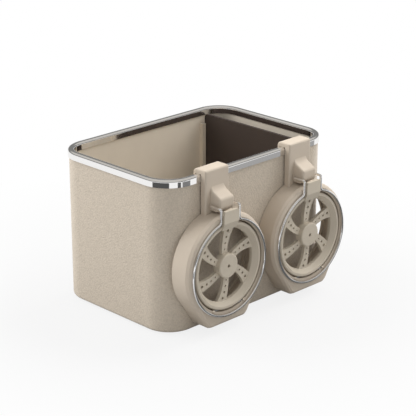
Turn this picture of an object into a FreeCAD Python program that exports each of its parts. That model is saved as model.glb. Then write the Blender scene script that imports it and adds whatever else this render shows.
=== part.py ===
import FreeCAD
import Part
import math
import os

# Car armrest storage box with two folding cup holders hooked over one long side.
# Millimetres. X runs along the long side, Z is up, the cup holders hang on the -Y side.
# The origin is the middle of the underside.

V = FreeCAD.Vector
X_AXIS = V(1, 0, 0)
Y_AXIS = V(0, 1, 0)

# Box, over the trim
BOX_LENGTH = 200.0
BOX_WIDTH = 140.0
BOX_HEIGHT = 136.5
BOX_CORNER = 26.0

# Walls
TRIM_WALL = 1.1
TRIM_CROWN = 2.4
TRIM_LEG = 6.5
TRIM_SHOULDER = 2.1
LEATHER = 1.2
SHELL_WALL = 2.6
SHELL_FLOOR = 3.0
GLUE_LINE = 0.05
BOTTOM_EDGE = 3.0
INNER_FLOOR_RADIUS = 4.0
HEM_WIDTH = 18.0
MAT_THICKNESS = 1.5
MAT_INSET = 9.0

# Divider and its rails
SLIM_POCKET = 25.0
DIVIDER_THICKNESS = 2.5
DIVIDER_DROP = 5.0
DIVIDER_CLEARANCE = 0.3
DIVIDER_RIM_CLEARANCE = 0.5
RAIL_LEG = 4.0
RAIL_DEPTH = 3.6
RAIL_WEB = 1.0
RAIL_DROP = 14.0

# Folding base of a cup holder, the size that the holder is built round
BASE_RADIUS = 38.0
BASE_THICKNESS = 8.0
RIM_WIDTH = 6.0
RIM_FACE = 2.6
RIM_WALL = 2.2
RIM_CHAMFER = 0.8
SPOKE_COUNT = 6
SPOKE_ANGLE = 89.0
SPOKE_SWEEP = 17.0
SPOKE_RECESS = 4.5
SPOKE_THICKNESS = 3.0
SPOKE_ROOT_WIDTH = 6.0
SPOKE_TIP_WIDTH = 12.0
SPOKE_HOLES = 4
SPOKE_HOLE_FIRST = 14.0
SPOKE_HOLE_MARGIN = 2.4
SPOKE_HOLE_RADIUS = 0.75
SPOKE_HOLE_GROWTH = 0.17
HUB_RADIUS = 10.7
HUB_RISE = 4.3
HUB_EDGE_RADIUS = 1.2
HUB_HOLE_RADIUS = 1.5
HUB_OVERLAP = 2.0

# Housing of a cup holder; depth is measured outward from the back of the hook plate.
# The shares split the straight run that the two holders leave free along the long side.
LEFT_SHARE = 0.478
MIDDLE_SHARE = 0.368
HOOK_CLEARANCE = 0.2
FOOT_Z = 6.5
FOOT_HALF = 21.0
FOOT_CHIN = 5.5
FOOT_CORNER_RADIUS = 5.0
HOUSING_BAND = 6.5
HOUSING_WALL = 2.4
HOUSING_BACK = -0.9
BORE_CLEARANCE = 1.5
SHOULDER_DEPTH = 14.8
SHOULDER_MID_DEPTH = 17.7
SHOULDER_MID_INSET = 1.2
LIP_DEPTH = 19.1
LIP_INSET = 3.4
SKIRT_WALL = 2.2
GROOVE_DEPTH = 12.5
FLANGE_WIDTH = 2.0
FLANGE_THICKNESS = 2.0

# Hook, plate and pivot boss; the shares are of the plate's height above the pivot.
PLATE_WIDTH = 27.0
PLATE_THICKNESS = 5.5
PLATE_SEAT = 1.5
PLATE_EDGE_RADIUS = 1.3
HOOK_CROWN = 3.8
HOOK_FRONT_RADIUS = 1.8
HOOK_BACK_RADIUS = 3.4
HOOK_LEG = 24.0
HOOK_LEG_THICKNESS = 2.6
PIVOT_DEPTH = 8.0
PIVOT_RISE = 6.5
BOSS_HALF = 8.2
BOSS_FRONT = 17.0
BOSS_ROOT = 3.0
BOSS_SINK = 0.3
BOSS_CHIN = 5.2
BOSS_BACK_SHARE = 0.5
BOSS_FRONT_SHARE = 0.27
BOSS_BLEND_SHARE = 0.27
BOSS_CREST_RADIUS = 3.0
BOSS_EDGE_RADIUS = 1.6

# Wire bail
WIRE_RADIUS = 1.1
WIRE_BEND = 1.4
WIRE_NECK_BEND = 3.0
WIRE_HOLE_CLEARANCE = 0.06
WIRE_END_HALF = 3.0
BAIL_CLEARANCE = 2.8
BAIL_SAG = 0.9
BAIL_GAP = 0.3
BAIL_NECK_GAP = 1.4

# Finger tab on the folding base
TAB_SIDE_GAP = 1.05
TAB_TAPER = 1.2
TAB_TAPER_HEIGHT = 3.0
TAB_THICKNESS = 3.0
TAB_DROP = 2.5
TAB_GAP = 0.3
TAB_ROOT = 2.0
TAB_ROOT_INSET = 1.0
TAB_RAMP = 1.5

# Base hinge
BASE_PROUD = 0.4
HINGE_INSET = 2.0
HINGE_SETBACK = 1.1
PIN_RADIUS = 0.6
PIN_CLEARANCE = 0.06
PIN_END_GAP = 0.2
LUG_RADIUS = 1.3
LUG_WIDTH = 2.0
LUG_SEAT = 0.65

# Derived levels and widths of the box
SHELL_INSET = TRIM_WALL + LEATHER + 2 * GLUE_LINE
TRIM_WIDTH = 2 * TRIM_WALL + LEATHER + SHELL_WALL + 3 * GLUE_LINE
CAVITY_INSET = SHELL_INSET + SHELL_WALL
SHELL_BOTTOM = MAT_THICKNESS + LEATHER + GLUE_LINE
SHELL_TOP = BOX_HEIGHT - TRIM_CROWN
FLOOR_TOP = SHELL_BOTTOM + SHELL_FLOOR
CAVITY_HALF_WIDTH = BOX_WIDTH / 2 - CAVITY_INSET
DIVIDER_X = BOX_LENGTH / 2 - SLIM_POCKET
DIVIDER_SLOT = DIVIDER_THICKNESS + 2 * DIVIDER_CLEARANCE
RAIL_WIDTH = DIVIDER_SLOT + 2 * RAIL_LEG
STRAIGHT_START = -(BOX_LENGTH / 2 - BOX_CORNER)
STRAIGHT_END = DIVIDER_X - RAIL_WIDTH / 2

# Derived places in a cup holder
HOLDER_BACK_Y = -(BOX_WIDTH / 2 + HOOK_CLEARANCE)
BORE_RADIUS = BASE_RADIUS + BORE_CLEARANCE
FLANGE_RADIUS = BORE_RADIUS - FLANGE_WIDTH
HOUSING_RADIUS = BORE_RADIUS + HOUSING_BAND
FREE_RUN = STRAIGHT_END - STRAIGHT_START - PLATE_WIDTH - 2 * HOUSING_RADIUS
HOLDER_SPACING = 2 * HOUSING_RADIUS + MIDDLE_SHARE * FREE_RUN
LEFT_HOLDER_X = STRAIGHT_START + LEFT_SHARE * FREE_RUN + PLATE_WIDTH / 2
HOUSING_Z = FOOT_Z + FOOT_CHIN + HOUSING_RADIUS
PLATE_BOTTOM = HOUSING_Z + BORE_RADIUS + PLATE_SEAT
PIVOT_Z = HOUSING_Z + HOUSING_RADIUS + PIVOT_RISE
PLATE_ABOVE_PIVOT = BOX_HEIGHT - PIVOT_Z
BAIL_RADIUS = BASE_RADIUS + BAIL_CLEARANCE + WIRE_RADIUS
BAIL_Z = HOUSING_Z - BAIL_SAG
BAIL_DEPTH = LIP_DEPTH + BAIL_GAP + WIRE_RADIUS
BAIL_NECK_HALF = BOSS_HALF + BAIL_NECK_GAP + WIRE_RADIUS
BASE_FRONT = LIP_DEPTH + BASE_PROUD
BASE_BACK = BASE_FRONT - BASE_THICKNESS
SPOKE_FRONT = BASE_FRONT - SPOKE_RECESS
SPOKE_BACK = SPOKE_FRONT - SPOKE_THICKNESS
SPOKE_ROOT = HUB_RADIUS - HUB_OVERLAP
SPOKE_TIP = BASE_RADIUS - RIM_WIDTH / 2
SPOKE_HOLE_LAST = BASE_RADIUS - RIM_WIDTH - SPOKE_HOLE_MARGIN
SPOKE_HOLE_PITCH = (SPOKE_HOLE_LAST - SPOKE_HOLE_FIRST) / (SPOKE_HOLES - 1)
TAB_BACK = LIP_DEPTH + TAB_GAP
TAB_TOP = PIVOT_Z - TAB_DROP
TAB_HALF = BAIL_NECK_HALF - WIRE_RADIUS - TAB_SIDE_GAP
HINGE_DROP = BASE_RADIUS - HINGE_INSET
HINGE_Z = HOUSING_Z - HINGE_DROP
HINGE_DEPTH = BASE_FRONT - HINGE_SETBACK
LUG_INNER = math.sqrt(BORE_RADIUS ** 2 - HINGE_DROP ** 2) + LUG_SEAT
LUG_OUTER = LUG_INNER + LUG_WIDTH
PIN_HALF = LUG_OUTER - PIN_END_GAP


def one_solid(shape):
    solids = shape.removeSplitter().Solids
    if len(solids) != 1:
        raise ValueError("expected one solid, got %d" % len(solids))
    return solids[0]


def rounded_prism(inset, bottom, top):
    """Prism with the box outline moved in by inset, between two heights."""
    half_x = BOX_LENGTH / 2 - inset
    half_y = BOX_WIDTH / 2 - inset
    box = Part.makeBox(2 * half_x, 2 * half_y, top - bottom, V(-half_x, -half_y, bottom))
    corners = [e for e in box.Edges if abs(e.tangentAt(e.FirstParameter).z) > 0.99]
    return box.makeFillet(BOX_CORNER - inset, corners)


def edges_at_height(shape, height):
    return [e for e in shape.Edges if e.BoundBox.ZLength < 1e-6 and abs(e.BoundBox.ZMin - height) < 1e-6]


def extrude_profile(points, direction):
    wire = Part.makePolygon(points + [points[0]])
    return Part.Face(wire).extrude(direction)


def side_profile(points, half_width):
    """Extrude a (depth, z) outline across the holder."""
    return extrude_profile([V(-half_width, -d, z) for d, z in points], V(2 * half_width, 0, 0))


def front_profile(points, depth, thickness):
    """Extrude an (x, z) outline outward from a depth."""
    return extrude_profile([V(x, -depth, z) for x, z in points], V(0, -thickness, 0))


def turned(points, centre_z):
    """Revolve an (r, depth) outline about the holder's axis."""
    wire = Part.makePolygon([V(r, -d, centre_z) for r, d in points + [points[0]]])
    return Part.Face(wire).revolve(V(0, 0, centre_z), Y_AXIS, 360)


def cross_rod(radius, x_from, x_to, depth, z):
    return Part.makeCylinder(radius, x_to - x_from, V(x_from, -depth, z), X_AXIS)


def bend(before, corner, after, radius):
    """Arc rounding a corner between two straight runs, with its two tangent points."""
    to_before = (before - corner).normalize()
    to_after = (after - corner).normalize()
    half = to_before.getAngle(to_after) / 2
    setback = radius / math.tan(half)
    start = corner + to_before * setback
    end = corner + to_after * setback
    bisector = (to_before + to_after).normalize()
    middle = corner + bisector * (radius / math.sin(half) - radius)
    return start, Part.Arc(start, middle, end).toShape(), end


def make_box_shell():
    body = rounded_prism(SHELL_INSET, SHELL_BOTTOM, SHELL_TOP)
    body = body.makeFillet(BOTTOM_EDGE - LEATHER - GLUE_LINE, edges_at_height(body, SHELL_BOTTOM))
    return one_solid(body.cut(make_cavity(0.0)))


def make_cavity(gap):
    cavity = rounded_prism(CAVITY_INSET + gap, FLOOR_TOP + gap, BOX_HEIGHT)
    return cavity.makeFillet(INNER_FLOOR_RADIUS, edges_at_height(cavity, FLOOR_TOP + gap))


def make_leather_wrap():
    inset = TRIM_WALL + GLUE_LINE
    skin = rounded_prism(inset, MAT_THICKNESS, SHELL_TOP)
    skin = skin.makeFillet(BOTTOM_EDGE, edges_at_height(skin, MAT_THICKNESS))
    core_bottom = MAT_THICKNESS + LEATHER
    core = rounded_prism(inset + LEATHER, core_bottom, BOX_HEIGHT)
    core = core.makeFillet(BOTTOM_EDGE - LEATHER, edges_at_height(core, core_bottom))
    opening = rounded_prism(inset + HEM_WIDTH, 0.0, BOX_HEIGHT)
    return one_solid(skin.cut(core).cut(opening))


def make_chrome_rim():
    foot = BOX_HEIGHT - TRIM_LEG
    ring = rounded_prism(0.0, foot, BOX_HEIGHT).cut(rounded_prism(TRIM_WIDTH, foot, BOX_HEIGHT))
    ring = ring.makeFillet(TRIM_SHOULDER, edges_at_height(ring, BOX_HEIGHT))
    channel = rounded_prism(TRIM_WALL, foot, SHELL_TOP)
    channel = channel.cut(rounded_prism(TRIM_WIDTH - TRIM_WALL, foot, SHELL_TOP))
    return one_solid(ring.cut(channel))


def make_base_mat():
    return rounded_prism(MAT_INSET, 0.0, MAT_THICKNESS)


def make_divider_rail(side):
    """U-channel on a long wall; side is +1 at the back and -1 at the cup holders."""
    front = side * (CAVITY_HALF_WIDTH - RAIL_DEPTH)
    reach = RAIL_DEPTH + SHELL_WALL
    web = side * (CAVITY_HALF_WIDTH - RAIL_WEB)
    height = BOX_HEIGHT - RAIL_DROP - FLOOR_TOP
    blank_y = min(front, front + side * reach)
    blank = Part.makeBox(RAIL_WIDTH, reach, height, V(DIVIDER_X - RAIL_WIDTH / 2, blank_y, FLOOR_TOP))
    groove_y = min(front, web)
    groove_corner = V(DIVIDER_X - DIVIDER_SLOT / 2, groove_y, FLOOR_TOP)
    groove = Part.makeBox(DIVIDER_SLOT, abs(web - front), height, groove_corner)
    return one_solid(blank.cut(groove).common(make_cavity(GLUE_LINE)))


def mouth_half_width(x):
    """Half the clear width between the trim's inner faces, which narrows past the start of a corner."""
    past_corner = max(0.0, x - (BOX_LENGTH / 2 - BOX_CORNER))
    radius = BOX_CORNER - TRIM_WIDTH
    return BOX_WIDTH / 2 - BOX_CORNER + math.sqrt(radius ** 2 - past_corner ** 2)


def make_divider():
    half = mouth_half_width(DIVIDER_X + DIVIDER_THICKNESS / 2) - DIVIDER_RIM_CLEARANCE
    bottom = FLOOR_TOP + DIVIDER_CLEARANCE
    height = BOX_HEIGHT - DIVIDER_DROP - bottom
    corner = V(DIVIDER_X - DIVIDER_THICKNESS / 2, -half, bottom)
    plate = Part.makeBox(DIVIDER_THICKNESS, 2 * half, height, corner)
    corners = [e for e in plate.Edges if abs(e.tangentAt(e.FirstParameter).x) > 0.99]
    return plate.makeFillet(INNER_FLOOR_RADIUS, corners)


def housing_outline(inset, depth):
    """Round housing outline running down tangent lines to a flat foot with rounded corners."""
    radius = HOUSING_RADIUS - inset
    foot_z = FOOT_Z + inset
    drop = HOUSING_Z - foot_z
    reach = math.hypot(FOOT_HALF, drop)
    angle = math.atan2(-drop, FOOT_HALF) + math.acos(radius / reach)
    touch_x = radius * math.cos(angle)
    touch_z = HOUSING_Z + radius * math.sin(angle)
    y = -depth
    right = V(touch_x, y, touch_z)
    left = V(-touch_x, y, touch_z)
    foot_right = V(FOOT_HALF, y, foot_z)
    foot_left = V(-FOOT_HALF, y, foot_z)
    left_start, left_arc, left_end = bend(left, foot_left, foot_right, FOOT_CORNER_RADIUS)
    right_start, right_arc, right_end = bend(foot_left, foot_right, right, FOOT_CORNER_RADIUS)
    return Part.Wire(
        [
            Part.Arc(right, V(0, y, HOUSING_Z + radius), left).toShape(),
            Part.makeLine(left, left_start),
            left_arc,
            Part.makeLine(left_end, right_start),
            right_arc,
            Part.makeLine(right_end, right),
        ]
    )


def make_housing():
    back = housing_outline(0.0, HOUSING_BACK)
    body = Part.Face(back).extrude(V(0, -(SHOULDER_DEPTH - HOUSING_BACK), 0))
    steps = [
        housing_outline(0.0, SHOULDER_DEPTH),
        housing_outline(SHOULDER_MID_INSET, SHOULDER_MID_DEPTH),
        housing_outline(LIP_INSET, LIP_DEPTH),
    ]
    body = body.fuse(Part.makeLoft(steps, True, True))
    flange_front = HOUSING_BACK + FLANGE_THICKNESS
    bore = turned(
        [
            (0, HOUSING_BACK),
            (FLANGE_RADIUS, HOUSING_BACK),
            (FLANGE_RADIUS, flange_front),
            (BORE_RADIUS, flange_front),
            (BORE_RADIUS, LIP_DEPTH),
            (0, LIP_DEPTH),
        ],
        HOUSING_Z,
    )
    groove_in = BORE_RADIUS + SKIRT_WALL
    groove_out = HOUSING_RADIUS - HOUSING_WALL
    groove = turned(
        [
            (groove_in, HOUSING_BACK),
            (groove_out, HOUSING_BACK),
            (groove_out, GROOVE_DEPTH),
            (groove_in, GROOVE_DEPTH),
        ],
        HOUSING_Z,
    )
    return body.cut(bore).cut(groove)


def make_hook():
    """Plate on the outside of the box, turned over the rim into a short inner leg."""
    leg_out = -(TRIM_WIDTH + 2 * HOOK_CLEARANCE)
    leg_in = leg_out - HOOK_LEG_THICKNESS
    leg_end = BOX_HEIGHT - HOOK_LEG
    top = BOX_HEIGHT + HOOK_CROWN
    hook = side_profile(
        [
            (0, PLATE_BOTTOM),
            (0, BOX_HEIGHT),
            (leg_out, BOX_HEIGHT),
            (leg_out, leg_end),
            (leg_in, leg_end),
            (leg_in, top),
            (PLATE_THICKNESS, top),
            (PLATE_THICKNESS, PLATE_BOTTOM),
        ],
        PLATE_WIDTH / 2,
    )
    for radius, pick in ((HOOK_BACK_RADIUS, max), (HOOK_FRONT_RADIUS, min)):
        cross_edges = [e for e in edges_at_height(hook, top) if e.BoundBox.YLength < 1e-6]
        hook = hook.makeFillet(radius, [pick(cross_edges, key=lambda e: e.BoundBox.YMin)])
    outer_face = max(hook.Faces, key=lambda f: -f.CenterOfMass.y)
    rims = [e for e in outer_face.Edges if e.BoundBox.XLength < 1e-6]
    return hook.makeFillet(PLATE_EDGE_RADIUS, rims)


def make_boss():
    """Pivot boss: swells out of the plate in a hollow sweep and ends in a rounded nose."""
    bottom = PIVOT_Z - BOSS_CHIN
    root = V(0, BOSS_ROOT - PLATE_THICKNESS, 0)
    sweep_foot = V(0, BOSS_SINK - PLATE_THICKNESS, PIVOT_Z + BOSS_BACK_SHARE * PLATE_ABOVE_PIVOT)
    nose_top = V(0, -BOSS_FRONT, PIVOT_Z + BOSS_FRONT_SHARE * PLATE_ABOVE_PIVOT)
    nose_bottom = V(0, -BOSS_FRONT, bottom)
    plate_top = V(0, sweep_foot.y, BOX_HEIGHT)
    plate_bottom = root + V(0, 0, bottom)
    blend_radius = BOSS_BLEND_SHARE * PLATE_ABOVE_PIVOT
    sweep_start, sweep, sweep_end = bend(plate_top, sweep_foot, nose_top, blend_radius)
    crest_start, crest, crest_end = bend(sweep_foot, nose_top, nose_bottom, BOSS_CREST_RADIUS)
    chin_start, chin, chin_end = bend(nose_top, nose_bottom, plate_bottom, BOSS_CHIN)
    root_top = root + V(0, 0, sweep_start.z)
    outline = Part.Wire(
        [
            Part.makeLine(plate_bottom, root_top),
            Part.makeLine(root_top, sweep_start),
            sweep,
            Part.makeLine(sweep_end, crest_start),
            crest,
            Part.makeLine(crest_end, chin_start),
            chin,
            Part.makeLine(chin_end, plate_bottom),
        ]
    )
    outline.translate(V(-BOSS_HALF, 0, 0))
    block = Part.Face(outline).extrude(V(2 * BOSS_HALF, 0, 0))
    front = min(block.Faces, key=lambda f: f.CenterOfMass.y)
    uprights = [e for e in front.Edges if e.BoundBox.XLength < 1e-6]
    return block.makeFillet(BOSS_EDGE_RADIUS, uprights)


def make_holder_frame():
    frame = make_housing().fuse(make_hook()).fuse(make_boss())
    for side in (-1, 1):
        ends = sorted([side * LUG_INNER, side * LUG_OUTER])
        lug = cross_rod(LUG_RADIUS, ends[0], ends[1], HINGE_DEPTH, HINGE_Z)
        web_corner = V(ends[0], -HINGE_DEPTH, HINGE_Z - LUG_RADIUS)
        web = Part.makeBox(LUG_OUTER - LUG_INNER, HINGE_DEPTH - GROOVE_DEPTH, LUG_RADIUS, web_corner)
        frame = frame.fuse(lug).fuse(web)
    frame = frame.cut(cross_rod(PIN_RADIUS + PIN_CLEARANCE, -PIN_HALF, PIN_HALF, HINGE_DEPTH, HINGE_Z))
    hole = cross_rod(WIRE_RADIUS + WIRE_HOLE_CLEARANCE, -BOSS_HALF, BOSS_HALF, PIVOT_DEPTH, PIVOT_Z)
    return one_solid(frame.cut(hole))


def make_wire_bail():
    neck_top = V(BAIL_NECK_HALF, -BAIL_DEPTH, PIVOT_Z)
    neck_back = V(BAIL_NECK_HALF, -PIVOT_DEPTH, PIVOT_Z)
    wire_end = V(WIRE_END_HALF, -PIVOT_DEPTH, PIVOT_Z)
    fillet_x = BAIL_NECK_HALF + WIRE_NECK_BEND
    fillet_z = BAIL_Z + math.sqrt((BAIL_RADIUS + WIRE_NECK_BEND) ** 2 - fillet_x ** 2)
    neck_foot = V(BAIL_NECK_HALF, -BAIL_DEPTH, fillet_z)
    ratio = BAIL_RADIUS / (BAIL_RADIUS + WIRE_NECK_BEND)
    join = V(fillet_x * ratio, -BAIL_DEPTH, BAIL_Z + (fillet_z - BAIL_Z) * ratio)
    turn = math.pi + math.atan2(fillet_z - BAIL_Z, fillet_x) / 2
    fillet_mid = V(
        fillet_x + WIRE_NECK_BEND * math.cos(turn), -BAIL_DEPTH, fillet_z + WIRE_NECK_BEND * math.sin(turn)
    )
    back_start, back_arc, back_end = bend(wire_end, neck_back, neck_top, WIRE_BEND)
    front_start, front_arc, front_end = bend(neck_back, neck_top, neck_foot, WIRE_BEND)
    right = [
        Part.makeLine(wire_end, back_start),
        back_arc,
        Part.makeLine(back_end, front_start),
        front_arc,
        Part.makeLine(front_end, neck_foot),
        Part.Arc(neck_foot, fillet_mid, join).toShape(),
    ]
    mirror = [e.mirror(V(0, 0, 0), X_AXIS) for e in right]
    bottom = V(0, -BAIL_DEPTH, BAIL_Z - BAIL_RADIUS)
    loop = Part.Arc(join, bottom, V(-join.x, join.y, join.z)).toShape()
    path = Part.Wire(Part.__sortEdges__(right + [loop] + mirror))
    section = Part.Wire(Part.makeCircle(WIRE_RADIUS, wire_end, X_AXIS))
    return one_solid(path.makePipeShell([section], True, False))


def spoke_blade(angle):
    """One curved spoke, wider at the rim, seen from the front."""
    edges = []
    for side in (-1, 1):
        points = []
        for step in (0.0, 0.5, 1.0):
            radius = SPOKE_ROOT + (SPOKE_TIP - SPOKE_ROOT) * step
            half = SPOKE_ROOT_WIDTH / 2 + (SPOKE_TIP_WIDTH - SPOKE_ROOT_WIDTH) / 2 * step * step
            lean = angle + SPOKE_SWEEP * (0.5 - step)
            turn = math.radians(lean) + side * math.asin(half / radius)
            points.append(V(radius * math.cos(turn), -SPOKE_BACK, HOUSING_Z + radius * math.sin(turn)))
        edges.append(points)
    low, high = edges
    outline = Part.Wire(
        [
            Part.Arc(low[0], low[1], low[2]).toShape(),
            Part.makeLine(low[2], high[2]),
            Part.Arc(high[2], high[1], high[0]).toShape(),
            Part.makeLine(high[0], low[0]),
        ]
    )
    return Part.Face(outline).extrude(V(0, -SPOKE_THICKNESS, 0))


def spoke_drillings(angle):
    holes = []
    for index in range(SPOKE_HOLES):
        radius = SPOKE_HOLE_FIRST + index * SPOKE_HOLE_PITCH
        step = (radius - SPOKE_ROOT) / (SPOKE_TIP - SPOKE_ROOT)
        turn = math.radians(angle + SPOKE_SWEEP * (0.5 - step))
        start = V(radius * math.cos(turn), -SPOKE_BACK, HOUSING_Z + radius * math.sin(turn))
        size = SPOKE_HOLE_RADIUS + index * SPOKE_HOLE_GROWTH
        holes.append(Part.makeCylinder(size, SPOKE_THICKNESS, start, V(0, -1, 0)))
    return holes


def make_tab():
    """Finger tab: rises from the rim's face in front of the housing lip."""
    rim_in = HOUSING_Z + BASE_RADIUS - RIM_WIDTH
    rim_out = HOUSING_Z + BASE_RADIUS
    tab_front = TAB_BACK + TAB_THICKNESS
    side = side_profile(
        [
            (BASE_FRONT - TAB_ROOT, rim_in + TAB_ROOT_INSET),
            (BASE_FRONT, rim_in + TAB_ROOT_INSET),
            (tab_front, rim_out + TAB_RAMP),
            (tab_front, TAB_TOP),
            (TAB_BACK, TAB_TOP),
            (TAB_BACK, rim_out - TAB_RAMP),
            (BASE_FRONT - TAB_ROOT, rim_out - TAB_RAMP),
        ],
        TAB_HALF,
    )
    tip_half = TAB_HALF - TAB_TAPER
    outline = front_profile(
        [
            (-TAB_HALF, rim_in),
            (TAB_HALF, rim_in),
            (TAB_HALF, TAB_TOP - TAB_TAPER_HEIGHT),
            (tip_half, TAB_TOP),
            (-tip_half, TAB_TOP),
            (-TAB_HALF, TAB_TOP - TAB_TAPER_HEIGHT),
        ],
        BASE_BACK,
        tab_front - BASE_BACK,
    )
    return side.common(outline)


def make_cup_base():
    rim = turned(
        [
            (BASE_RADIUS - RIM_WIDTH, SPOKE_BACK),
            (BASE_RADIUS - RIM_WIDTH, SPOKE_FRONT),
            (BASE_RADIUS - RIM_FACE, BASE_FRONT),
            (BASE_RADIUS - RIM_CHAMFER, BASE_FRONT),
            (BASE_RADIUS, BASE_FRONT - RIM_CHAMFER),
            (BASE_RADIUS, BASE_BACK),
            (BASE_RADIUS - RIM_WALL, BASE_BACK),
            (BASE_RADIUS - RIM_WALL, SPOKE_BACK),
        ],
        HOUSING_Z,
    )
    hub_height = SPOKE_THICKNESS + HUB_RISE
    hub_back = V(0, -SPOKE_BACK, HOUSING_Z)
    hub = Part.makeCylinder(HUB_RADIUS, hub_height, hub_back, V(0, -1, 0))
    face_edge = min(hub.Edges, key=lambda e: e.BoundBox.YMax)
    hub = hub.makeFillet(HUB_EDGE_RADIUS, [face_edge])
    angles = [SPOKE_ANGLE + 360.0 / SPOKE_COUNT * k for k in range(SPOKE_COUNT)]
    wheel = rim.fuse([hub] + [spoke_blade(a) for a in angles] + [make_tab()])
    for angle in angles:
        wheel = wheel.cut(spoke_drillings(angle))
    centre = Part.makeCylinder(HUB_HOLE_RADIUS, hub_height, hub_back, V(0, -1, 0))
    bore = cross_rod(PIN_RADIUS + PIN_CLEARANCE, -PIN_HALF, PIN_HALF, HINGE_DEPTH, HINGE_Z)
    return one_solid(wheel.cut(centre).cut(bore))


def make_hinge_pin():
    return cross_rod(PIN_RADIUS, -PIN_HALF, PIN_HALF, HINGE_DEPTH, HINGE_Z)


def main():
    pieces = {
        "box_shell": make_box_shell(),
        "leather_wrap": make_leather_wrap(),
        "chrome_rim": make_chrome_rim(),
        "base_mat": make_base_mat(),
        "divider_rail_rear": make_divider_rail(1),
        "divider_rail_front": make_divider_rail(-1),
        "divider": make_divider(),
    }
    holder = {
        "holder_frame": make_holder_frame(),
        "wire_bail": make_wire_bail(),
        "cup_base": make_cup_base(),
        "base_hinge_pin": make_hinge_pin(),
    }
    for index, side in enumerate(("left", "right")):
        place = V(LEFT_HOLDER_X + index * HOLDER_SPACING, HOLDER_BACK_Y, 0)
        for name, shape in holder.items():
            pieces["%s_%s" % (name, side)] = shape.translated(place)
    os.makedirs("parts", exist_ok=True)
    for name, shape in pieces.items():
        shape.exportStep("parts/%s.step" % name)


main()
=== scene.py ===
import math
from typing import NamedTuple

import bpy
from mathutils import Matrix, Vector

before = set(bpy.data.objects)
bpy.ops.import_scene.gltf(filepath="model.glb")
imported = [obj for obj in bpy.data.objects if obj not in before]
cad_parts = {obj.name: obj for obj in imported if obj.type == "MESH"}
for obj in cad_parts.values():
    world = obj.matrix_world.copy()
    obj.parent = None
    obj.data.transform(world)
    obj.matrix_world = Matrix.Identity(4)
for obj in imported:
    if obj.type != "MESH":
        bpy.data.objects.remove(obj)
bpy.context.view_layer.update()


class Moulding(NamedTuple):
    """Finish of a moulded plastic: the grain's scale is per metre and its depth in metres."""
    colour: tuple
    roughness: float
    specular: float
    grain_scale: float
    grain_depth: float


class Flag(NamedTuple):
    """Sheet shaped as part of a ring: radii in metres, angles in degrees and a shade of grey."""
    inner: float
    outer: float
    start: float
    end: float
    grey: float


class Lamp(NamedTuple):
    """Square softbox: place and size in metres, power in watts."""
    place: tuple
    size: float
    power: float


# Camera, measured from the photograph's perspective: metres, degrees, pixels and millimetres of sensor
CAMERA_TARGET = Vector((0.0085, -0.0070, 0.0727))
CAMERA_AZIMUTH = -44.77
CAMERA_ELEVATION = 20.25
CAMERA_DISTANCE = 1.286
CAMERA_FOCAL_PX = 1450.0
IMAGE_WIDTH_PX = 416.0
SENSOR_WIDTH = 36.0

# Colours, linear
LEATHER_COLOUR = (0.572, 0.496, 0.403)
SHELL_COLOUR = (0.650, 0.582, 0.485)
HOLDER_COLOUR = (0.541, 0.464, 0.376)
BASE_COLOUR = (0.545, 0.482, 0.388)
DIVIDER_COLOUR = (0.040, 0.029, 0.025)
MAT_COLOUR = (0.030, 0.030, 0.030)
CHROME_COLOUR = (0.87, 0.86, 0.85)
STEEL_COLOUR = (0.50, 0.50, 0.51)
WHITE = (1.0, 1.0, 1.0)

# Procedural textures: scales are per metre, depths in metres, tints are (position, factor on the colour)
NOISE_ROUGHNESS = 0.55
RAMP_MIDDLE = 0.5

# Leather: pebbles with creases between them, and pores; the colour has random patches and painted shade
# that darkens the creases
PEBBLE_SCALE = 800.0
PEBBLE_SMOOTHNESS = 0.5
PEBBLE_STRENGTH = 0.5
PEBBLE_DEPTH = 0.0004
CREASE_SCALE = 260.0
CREASE_DETAIL = 4.0
CREASE_SHARE = 0.5
# Painted shade: these tints darken the colour towards the creases between pebbles
CREASE_SHADE_TINTS = [(0.35, 1.04), (1.00, 0.88)]
PORE_SCALE = 1800.0
PORE_DETAIL = 2.0
PORE_STRENGTH = 0.15
PORE_DEPTH = 0.0002
LEATHER_ROUGHNESS_LOW = 0.48
LEATHER_ROUGHNESS_HIGH = 0.62
LEATHER_SPECULAR = 0.35
LEATHER_SHEEN = 0.12
LEATHER_SHEEN_ROUGHNESS = 0.5

# Moulded plastic: flow patches and a fine grain
FLOW_SCALE = 30.0
FLOW_DETAIL = 3.0
FLOW_TINTS = [(0.30, 0.96), (0.70, 1.03)]
FLOW_SMOOTHER = 0.04
FLOW_ROUGHER = 0.05
GRAIN_DETAIL = 2.0
GRAIN_STRENGTH = 0.25
SHELL = Moulding(SHELL_COLOUR, roughness=0.55, specular=0.30, grain_scale=1400.0, grain_depth=0.00012)
HOLDER = Moulding(HOLDER_COLOUR, roughness=0.42, specular=0.45, grain_scale=1600.0, grain_depth=0.00008)
BASE = HOLDER._replace(colour=BASE_COLOUR)
DIVIDER = Moulding(DIVIDER_COLOUR, roughness=0.42, specular=0.35, grain_scale=1200.0, grain_depth=0.00010)

# Bright metal: polishing haze and a slight ripple
HAZE_SCALE = 160.0
HAZE_DETAIL = 3.0
HAZE_SMOOTHER = 0.7
HAZE_ROUGHER = 1.4
RIPPLE_SCALE = 60.0
RIPPLE_DETAIL = 1.0
RIPPLE_STRENGTH = 0.04
RIPPLE_DEPTH = 0.0004
CHROME_ROUGHNESS = 0.06
WIRE_ROUGHNESS = 0.08
PIN_ROUGHNESS = 0.28

# Rubber: coarse specks
SPECK_SCALE = 700.0
SPECK_DETAIL = 3.0
SPECK_TINTS = [(0.35, 0.8), (0.70, 1.5)]
SPECK_STRENGTH = 0.4
SPECK_DEPTH = 0.0004
RUBBER_ROUGHNESS = 0.85

# Floor: the share of plain white close to the object, as seen and as mirrored, grows to all white
FLOOR_HALF = 3.0
FLOOR_COLOUR = (0.45, 0.45, 0.45)
FLOOR_CLEAR_RADIUS = 0.16
FLOOR_FADE_RADIUS = 0.34
FLOOR_WHITE_NEAR = 0.84
FLOOR_MIRROR_NEAR = 0.0

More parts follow.
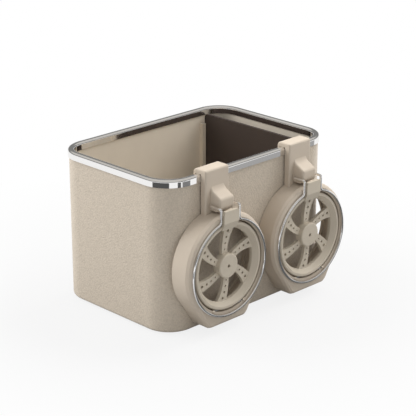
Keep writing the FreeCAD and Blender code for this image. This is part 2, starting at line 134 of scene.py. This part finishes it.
# Even light from all round
WORLD_LIGHT = 0.70

# What bright metal mirrors above the floor, by the sine of its height over the horizon
STUDIO_WALLS = [
    (0.00, (0.95, 0.95, 0.95)),
    (0.08, (0.90, 0.90, 0.90)),
    (0.14, (0.17, 0.17, 0.17)),
    (0.42, (0.26, 0.26, 0.25)),
    (0.52, (0.60, 0.58, 0.55)),
]

# Flags just over the floor, seen only in bright metal, round the box's near left corner
FLAG_CENTRE = (-0.092, -0.062)
FLAG_HEIGHT = 0.002
FLAG_STEP = 4.0
FLAGS = {
    "flag_left": Flag(inner=0.20, outer=0.80, start=166.0, end=230.0, grey=0.09),
    "flag_front": Flag(inner=0.20, outer=0.80, start=262.0, end=275.0, grey=0.10),
    "flag_side": Flag(inner=0.20, outer=0.80, start=281.0, end=311.0, grey=0.22),
    "flag_right": Flag(inner=0.385, outer=0.90, start=318.5, end=340.0, grey=0.40),
    "flag_near": Flag(inner=0.05, outer=0.32, start=262.0, end=350.0, grey=0.12),
}

# Softboxes
LAMP_TARGET = Vector((0.0, 0.0, 0.07))
LAMPS = {
    "key_back_left": Lamp(place=(-0.68, 0.95, 0.80), size=1.0, power=17.0),
    "right_top": Lamp(place=(0.87, -0.18, 1.02), size=0.9, power=18.0),
}


def opaque(colour):
    """Colour with full alpha."""
    return (*colour, 1.0)


def tinted(colour, tints):
    """Colour stops made from one colour and (position, factor) tints."""
    return [(position, tuple(channel * factor for channel in colour)) for position, factor in tints]


def facing(direction):
    """Rotation that points a lamp or camera along a direction."""
    return direction.to_track_quat("-Z", "Y").to_euler()


def add_object(name, data):
    thing = bpy.data.objects.new(name, data)
    bpy.context.scene.collection.objects.link(thing)
    return thing


def new_material(name):
    """Material with its node tree and its shader."""
    material = bpy.data.materials.new(name)
    material.use_nodes = True
    tree = material.node_tree
    return material, tree, tree.nodes["Principled BSDF"]


def bare_material(name):
    """Material with an emptied node tree and its output's surface socket."""
    material = bpy.data.materials.new(name)
    material.use_nodes = True
    tree = material.node_tree
    tree.nodes.clear()
    output = tree.nodes.new("ShaderNodeOutputMaterial")
    return material, tree, output.inputs["Surface"]


def add_node(tree, kind, **inputs):
    """Node with some of its inputs set; an underscore stands for a space in an input's name."""
    node = tree.nodes.new(kind)
    for key, value in inputs.items():
        node.inputs[key.replace("_", " ")].default_value = value
    return node


def object_coordinates(tree):
    return tree.nodes.new("ShaderNodeTexCoord").outputs["Object"]


def noise(tree, vector, scale, detail):
    node = add_node(tree, "ShaderNodeTexNoise", Scale=scale, Detail=detail, Roughness=NOISE_ROUGHNESS)
    tree.links.new(vector, node.inputs["Vector"])
    return node.outputs["Fac"]


def ramp(tree, factor, stops):
    """Colour ramp through (position, colour) stops."""
    node = tree.nodes.new("ShaderNodeValToRGB")
    elements = node.color_ramp.elements
    while len(elements) < len(stops):
        elements.new(RAMP_MIDDLE)
    for element, (position, colour) in zip(elements, stops):
        element.position = position
        element.color = opaque(colour)
    tree.links.new(factor, node.inputs["Fac"])
    return node.outputs["Color"]


def remap(tree, value, low, high):
    """Map a 0 to 1 value to the range low to high."""
    node = add_node(tree, "ShaderNodeMapRange", To_Min=low, To_Max=high)
    tree.links.new(value, node.inputs["Value"])
    return node.outputs["Result"]


def calculate(tree, operation, *values):
    """Math node over values that are sockets or plain numbers."""
    node = tree.nodes.new("ShaderNodeMath")
    node.operation = operation
    for socket, value in zip(node.inputs, values):
        if isinstance(value, bpy.types.NodeSocket):
            tree.links.new(value, socket)
        else:
            socket.default_value = value
    return node.outputs["Value"]


def bump(tree, height, strength, distance, normal=None):
    """Bump from a height, on top of an earlier bump where one is given."""
    node = add_node(tree, "ShaderNodeBump", Strength=strength, Distance=distance)
    tree.links.new(height, node.inputs["Height"])
    if normal is not None:
        tree.links.new(normal, node.inputs["Normal"])
    return node.outputs["Normal"]


def mix_shaders(tree, share, first, second):
    node = tree.nodes.new("ShaderNodeMixShader")
    tree.links.new(share, node.inputs["Fac"])
    tree.links.new(first.outputs[0], node.inputs[1])
    tree.links.new(second.outputs[0], node.inputs[2])
    return node


def leather_material():
    """Fine pebble grain: small rounded cells with creases between them, darkened by painted shade, random
    patches of tone and a low sheen.
    """
    material, tree, bsdf = new_material("leather")
    place = object_coordinates(tree)
    cells = tree.nodes.new("ShaderNodeTexVoronoi")
    cells.feature = "SMOOTH_F1"
    cells.inputs["Scale"].default_value = PEBBLE_SCALE
    cells.inputs["Smoothness"].default_value = PEBBLE_SMOOTHNESS
    tree.links.new(place, cells.inputs["Vector"])
    pebbles = cells.outputs["Distance"]
    patches = noise(tree, place, CREASE_SCALE, CREASE_DETAIL)
    # Random patches plus each point's distance from its pebble's middle; the ramp turns this into random
    # tone and painted shade in the creases
    patches_and_crease_shade = calculate(tree, "MULTIPLY_ADD", patches, CREASE_SHARE, pebbles)
    colour = ramp(tree, patches_and_crease_shade, tinted(LEATHER_COLOUR, CREASE_SHADE_TINTS))
    tree.links.new(colour, bsdf.inputs["Base Color"])
    pores = noise(tree, place, PORE_SCALE, PORE_DETAIL)
    fine = bump(tree, pores, PORE_STRENGTH, PORE_DEPTH)
    grain = bump(tree, remap(tree, pebbles, 1.0, 0.0), PEBBLE_STRENGTH, PEBBLE_DEPTH, fine)
    tree.links.new(grain, bsdf.inputs["Normal"])
    roughness = remap(tree, pores, LEATHER_ROUGHNESS_LOW, LEATHER_ROUGHNESS_HIGH)
    tree.links.new(roughness, bsdf.inputs["Roughness"])
    bsdf.inputs["Specular IOR Level"].default_value = LEATHER_SPECULAR
    bsdf.inputs["Sheen Weight"].default_value = LEATHER_SHEEN
    bsdf.inputs["Sheen Roughness"].default_value = LEATHER_SHEEN_ROUGHNESS
    return material


def moulded_material(name, moulding):
    """Moulded plastic: spark-eroded texture, slight flow patches and uneven gloss."""
    material, tree, bsdf = new_material(name)
    place = object_coordinates(tree)
    flow = noise(tree, place, FLOW_SCALE, FLOW_DETAIL)
    colour = ramp(tree, flow, tinted(moulding.colour, FLOW_TINTS))
    tree.links.new(colour, bsdf.inputs["Base Color"])
    grain = noise(tree, place, moulding.grain_scale, GRAIN_DETAIL)
    tree.links.new(bump(tree, grain, GRAIN_STRENGTH, moulding.grain_depth), bsdf.inputs["Normal"])
    roughness = remap(tree, flow, moulding.roughness - FLOW_SMOOTHER, moulding.roughness + FLOW_ROUGHER)
    tree.links.new(roughness, bsdf.inputs["Roughness"])
    bsdf.inputs["Specular IOR Level"].default_value = moulding.specular
    return material


def plated_material(name, colour, roughness):
    """Bright metal with faint polishing haze."""
    material, tree, bsdf = new_material(name)
    place = object_coordinates(tree)
    bsdf.inputs["Base Color"].default_value = opaque(colour)
    bsdf.inputs["Metallic"].default_value = 1.0
    haze = noise(tree, place, HAZE_SCALE, HAZE_DETAIL)
    gloss = remap(tree, haze, roughness * HAZE_SMOOTHER, roughness * HAZE_ROUGHER)
    tree.links.new(gloss, bsdf.inputs["Roughness"])
    ripple = noise(tree, place, RIPPLE_SCALE, RIPPLE_DETAIL)
    tree.links.new(bump(tree, ripple, RIPPLE_STRENGTH, RIPPLE_DEPTH), bsdf.inputs["Normal"])
    return material


def rubber_material():
    """Matt black rubber with coarse specks."""
    material, tree, bsdf = new_material("mat_rubber")
    specks = noise(tree, object_coordinates(tree), SPECK_SCALE, SPECK_DETAIL)
    colour = ramp(tree, specks, tinted(MAT_COLOUR, SPECK_TINTS))
    tree.links.new(colour, bsdf.inputs["Base Color"])
    tree.links.new(bump(tree, specks, SPECK_STRENGTH, SPECK_DEPTH), bsdf.inputs["Normal"])
    bsdf.inputs["Roughness"].default_value = RUBBER_ROUGHNESS
    return material


def dress(node, material):
    """Give a CAD node its finish."""
    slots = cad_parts[node].data.materials
    slots.clear()
    slots.append(material)


def dress_all():
    shell = moulded_material("shell_plastic", SHELL)
    holder = moulded_material("holder_plastic", HOLDER)
    base = moulded_material("base_plastic", BASE)
    wire = plated_material("wire_plating", CHROME_COLOUR, WIRE_ROUGHNESS)
    pin = plated_material("pin_steel", STEEL_COLOUR, PIN_ROUGHNESS)
    for node in ("box_shell", "divider_rail_rear", "divider_rail_front"):
        dress(node, shell)
    dress("leather_wrap", leather_material())
    dress("chrome_rim", plated_material("chrome_plating", CHROME_COLOUR, CHROME_ROUGHNESS))
    dress("base_mat", rubber_material())
    dress("divider", moulded_material("divider_plastic", DIVIDER))
    for side in ("left", "right"):
        dress("holder_frame_" + side, holder)
        dress("cup_base_" + side, base)
        dress("wire_bail_" + side, wire)
        dress("base_hinge_pin_" + side, pin)


def floor_material():
    """Pale floor that keeps the shadow near the object and fades to white further out."""
    material, tree, surface = bare_material("floor")
    lit = add_node(tree, "ShaderNodeBsdfDiffuse", Color=opaque(FLOOR_COLOUR))
    white = add_node(tree, "ShaderNodeEmission", Color=opaque(WHITE))
    radius = tree.nodes.new("ShaderNodeVectorMath")
    radius.operation = "LENGTH"
    tree.links.new(object_coordinates(tree), radius.inputs[0])
    fade = add_node(tree, "ShaderNodeMapRange", From_Min=FLOOR_CLEAR_RADIUS, From_Max=FLOOR_FADE_RADIUS)
    tree.links.new(radius.outputs["Value"], fade.inputs["Value"])
    path = tree.nodes.new("ShaderNodeLightPath")
    near = remap(tree, path.outputs["Is Glossy Ray"], FLOOR_WHITE_NEAR, FLOOR_MIRROR_NEAR)
    tree.links.new(near, fade.inputs["To Min"])
    sight = calculate(tree, "MAXIMUM", path.outputs["Is Camera Ray"], path.outputs["Is Transmission Ray"])
    sight = calculate(tree, "MAXIMUM", sight, path.outputs["Is Glossy Ray"])
    share = calculate(tree, "MULTIPLY", sight, fade.outputs["Result"])
    tree.links.new(mix_shaders(tree, share, lit, white).outputs[0], surface)
    return material


def make_floor():
    corners = [(x * FLOOR_HALF, y * FLOOR_HALF, 0.0) for x, y in ((-1, -1), (1, -1), (1, 1), (-1, 1))]
    mesh = bpy.data.meshes.new("floor")
    mesh.from_pydata(corners, [], [(0, 1, 2, 3)])
    mesh.materials.append(floor_material())
    floor = add_object("floor", mesh)


def flag_material(name, grey):
    """Even grey that needs no light."""
    material, tree, surface = bare_material(name)
    glow = add_node(tree, "ShaderNodeEmission", Color=(grey, grey, grey, 1.0))
    tree.links.new(glow.outputs[0], surface)
    return material


def make_flag(name, shape):
    """Sheet shaped as part of a ring, just over the floor, that only bright metal mirrors."""
    sweep = shape.end - shape.start
    steps = round(sweep / FLAG_STEP)
    points = []
    for index in range(steps + 1):
        angle = math.radians(shape.start + sweep * index / steps)
        for radius in (shape.inner, shape.outer):
            x = FLAG_CENTRE[0] + radius * math.cos(angle)
            y = FLAG_CENTRE[1] + radius * math.sin(angle)
            points.append((x, y, FLAG_HEIGHT))
    faces = [(2 * k, 2 * k + 1, 2 * k + 3, 2 * k + 2) for k in range(steps)]
    mesh = bpy.data.meshes.new(name)
    mesh.from_pydata(points, [], faces)
    mesh.materials.append(flag_material(name, shape.grey))
    flag = add_object(name, mesh)
    flag.visible_camera = False
    flag.visible_diffuse = False
    flag.visible_shadow = False
    flag.visible_transmission = False


def make_world():
    """Even ambient light, a white sight behind the object and grey walls for bright metal to mirror."""
    world = bpy.data.worlds.new("studio")
    bpy.context.scene.world = world
    world.use_nodes = True
    tree = world.node_tree
    tree.nodes.clear()
    output = tree.nodes.new("ShaderNodeOutputWorld")
    ambient = add_node(tree, "ShaderNodeBackground", Color=opaque(WHITE), Strength=WORLD_LIGHT)
    white = add_node(tree, "ShaderNodeBackground", Color=opaque(WHITE))
    direction = tree.nodes.new("ShaderNodeTexCoord").outputs["Generated"]
    split = tree.nodes.new("ShaderNodeSeparateXYZ")
    tree.links.new(direction, split.inputs[0])
    walls = tree.nodes.new("ShaderNodeBackground")
    tree.links.new(ramp(tree, split.outputs["Z"], STUDIO_WALLS), walls.inputs["Color"])
    path = tree.nodes.new("ShaderNodeLightPath")
    sight = calculate(tree, "MAXIMUM", path.outputs["Is Camera Ray"], path.outputs["Is Transmission Ray"])
    seen = mix_shaders(tree, sight, ambient, white)
    mirrored = mix_shaders(tree, path.outputs["Is Glossy Ray"], seen, walls)
    tree.links.new(mirrored.outputs[0], output.inputs["Surface"])


def make_lamp(name, softbox):
    """Softbox that lights the object; what bright metal mirrors comes from the walls and flags."""
    light = bpy.data.lights.new(name, "AREA")
    light.shape = "SQUARE"
    light.size = softbox.size
    light.energy = softbox.power
    lamp = add_object(name, light)
    lamp.location = softbox.place
    lamp.rotation_euler = facing(LAMP_TARGET - Vector(softbox.place))
    lamp.visible_glossy = False


def make_camera():
    azimuth = math.radians(CAMERA_AZIMUTH)
    elevation = math.radians(CAMERA_ELEVATION)
    back = Vector((
        math.sin(azimuth) * math.cos(elevation),
        -math.cos(azimuth) * math.cos(elevation),
        math.sin(elevation),
    ))
    data = bpy.data.cameras.new("camera")
    data.sensor_width = SENSOR_WIDTH
    data.lens = CAMERA_FOCAL_PX / IMAGE_WIDTH_PX * SENSOR_WIDTH
    camera = add_object("camera", data)
    camera.location = CAMERA_TARGET + back * CAMERA_DISTANCE
    camera.rotation_euler = facing(-back)
    bpy.context.scene.camera = camera


bpy.context.scene.view_settings.view_transform = "Standard"
dress_all()
make_floor()
for flag_name, flag_shape in FLAGS.items():
    make_flag(flag_name, flag_shape)
make_world()
for lamp_name, lamp_softbox in LAMPS.items():
    make_lamp(lamp_name, lamp_softbox)
make_camera()
